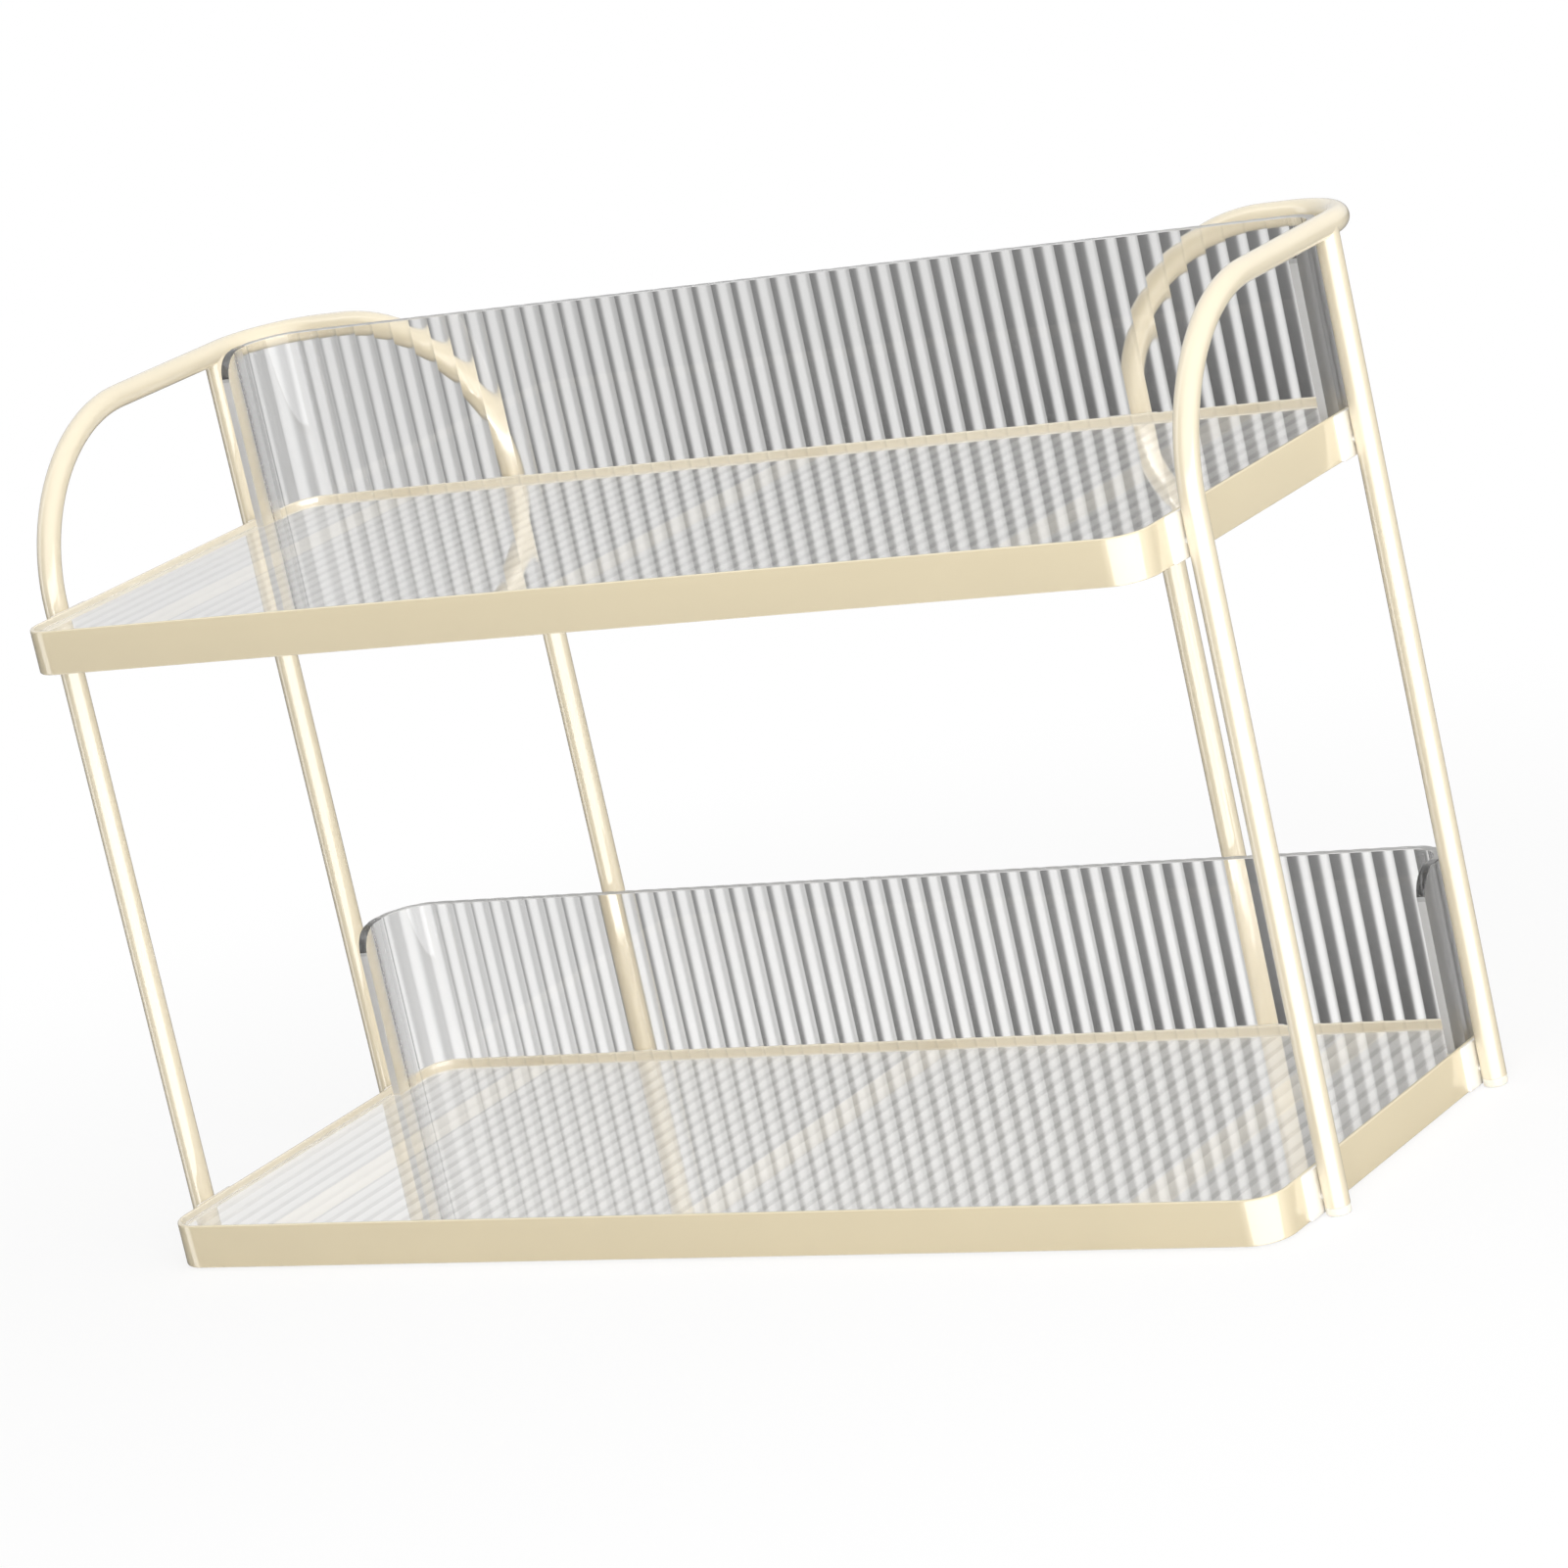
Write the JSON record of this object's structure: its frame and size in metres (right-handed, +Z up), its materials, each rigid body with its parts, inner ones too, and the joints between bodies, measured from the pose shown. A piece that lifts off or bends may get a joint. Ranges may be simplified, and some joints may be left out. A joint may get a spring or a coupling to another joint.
{
  "type": "cosmetic rack",
  "caption": "Free-standing tiered cosmetic rack: shallow trays with clear reeded floors and back guards, hung between bent tube side frames.",
  "frame": {"origin": "on the table, under the middle of the rack's bounding box", "axes": "+X to the right along the trays, +Y from the open front to the guarded back, +Z up"},
  "size_m": [0.3652, 0.1456, 0.2362],
  "materials": {
    "cream_coat": "glossy cream powder coat",
    "clear_sheet": "clear polished acrylic, reeded on one face",
    "plated_steel": "zinc plated",
    "foot_rubber": "milky, matte"
  },
  "bodies": {
    "root": {"lower_tray_band": "cream_coat", "lower_floor_sheet": "clear_sheet", "lower_back_guard": "clear_sheet", "lower_cross_bar_left": "cream_coat", "lower_cross_bar_middle": "cream_coat", "lower_cross_bar_right": "cream_coat", "upper_tray_band": "cream_coat", "upper_floor_sheet": "clear_sheet", "upper_back_guard": "clear_sheet", "upper_cross_bar_left": "cream_coat", "upper_cross_bar_middle": "cream_coat", "upper_cross_bar_right": "cream_coat", "left_arch_tube": "cream_coat", "left_corner_post": "cream_coat", "left_front_lower_plate": "cream_coat", "left_front_lower_screw": "plated_steel", "left_front_upper_plate": "cream_coat", "left_front_upper_screw": "plated_steel", "left_front_foot": "foot_rubber", "left_corner_lower_plate": "cream_coat", "left_corner_lower_screw": "plated_steel", "left_corner_upper_plate": "cream_coat", "left_corner_upper_screw": "plated_steel", "left_corner_foot": "foot_rubber", "left_back_lower_plate": "cream_coat", "left_back_lower_screw": "plated_steel", "left_back_upper_plate": "cream_coat", "left_back_upper_screw": "plated_steel", "left_back_foot": "foot_rubber", "right_arch_tube": "cream_coat", "right_corner_post": "cream_coat", "right_front_lower_plate": "cream_coat", "right_front_lower_screw": "plated_steel", "right_front_upper_plate": "cream_coat", "right_front_upper_screw": "plated_steel", "right_front_foot": "foot_rubber", "right_corner_lower_plate": "cream_coat", "right_corner_lower_screw": "plated_steel", "right_corner_upper_plate": "cream_coat", "right_corner_upper_screw": "plated_steel", "right_corner_foot": "foot_rubber", "right_back_lower_plate": "cream_coat", "right_back_lower_screw": "plated_steel", "right_back_upper_plate": "cream_coat", "right_back_upper_screw": "plated_steel", "right_back_foot": "foot_rubber"}
  },
  "joints": []
}
